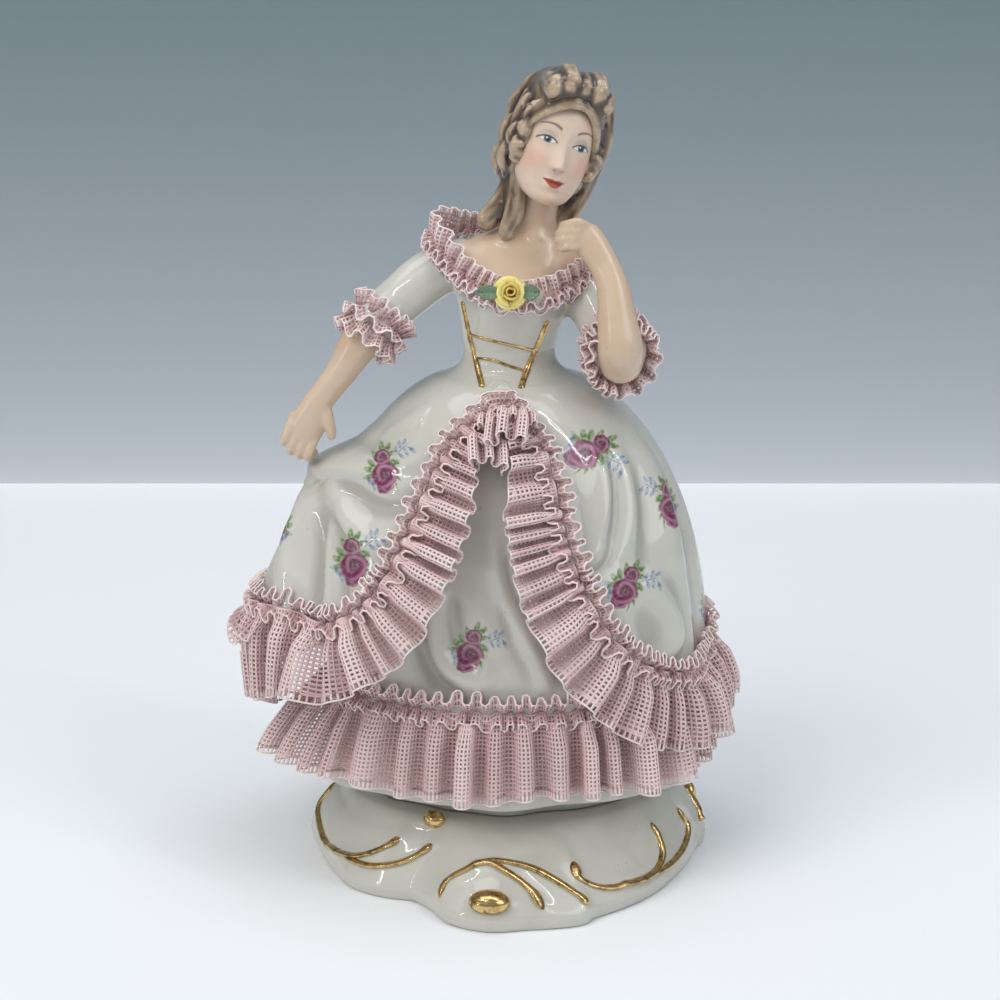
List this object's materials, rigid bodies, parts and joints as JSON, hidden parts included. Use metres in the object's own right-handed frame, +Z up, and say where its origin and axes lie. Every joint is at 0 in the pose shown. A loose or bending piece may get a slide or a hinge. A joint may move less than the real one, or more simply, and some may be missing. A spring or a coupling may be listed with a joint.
{
  "type": "dresden lace figurine",
  "caption": "Porcelain lady in a wide lace-trimmed gown, one hand drawing out her skirt and the other raised, on a low scroll base.",
  "frame": {"origin": "on the flat underside of the base, below the lady's waist", "axes": "+Z up the figure, -Y the way the lady faces, +X to the right as seen from the front, the side of the raised hand"},
  "size_m": [0.1542, 0.1257, 0.2397],
  "materials": {
    "base_glaze": "clear glaze over off-white porcelain, gilt scrolls",
    "figure_glaze": "glossy glaze, painted rose sprigs, matt flesh tones and brown hair",
    "lace_bisque": "matt pink fired lace",
    "rose_glaze": "satin yellow glaze",
    "leaf_glaze": "satin green glaze"
  },
  "bodies": {
    "root": {"base": "base_glaze", "lady": "figure_glaze", "neck_frill": "lace_bisque", "overskirt_ruche": "lace_bisque", "overskirt_flounce": "lace_bisque", "hem_ruche": "lace_bisque", "hem_flounce": "lace_bisque", "jabot": "lace_bisque", "skirt_hand_cuff": "lace_bisque", "raised_hand_cuff": "lace_bisque", "rose": "rose_glaze", "rose_leaf_left": "leaf_glaze", "rose_leaf_right": "leaf_glaze"}
  },
  "joints": []
}
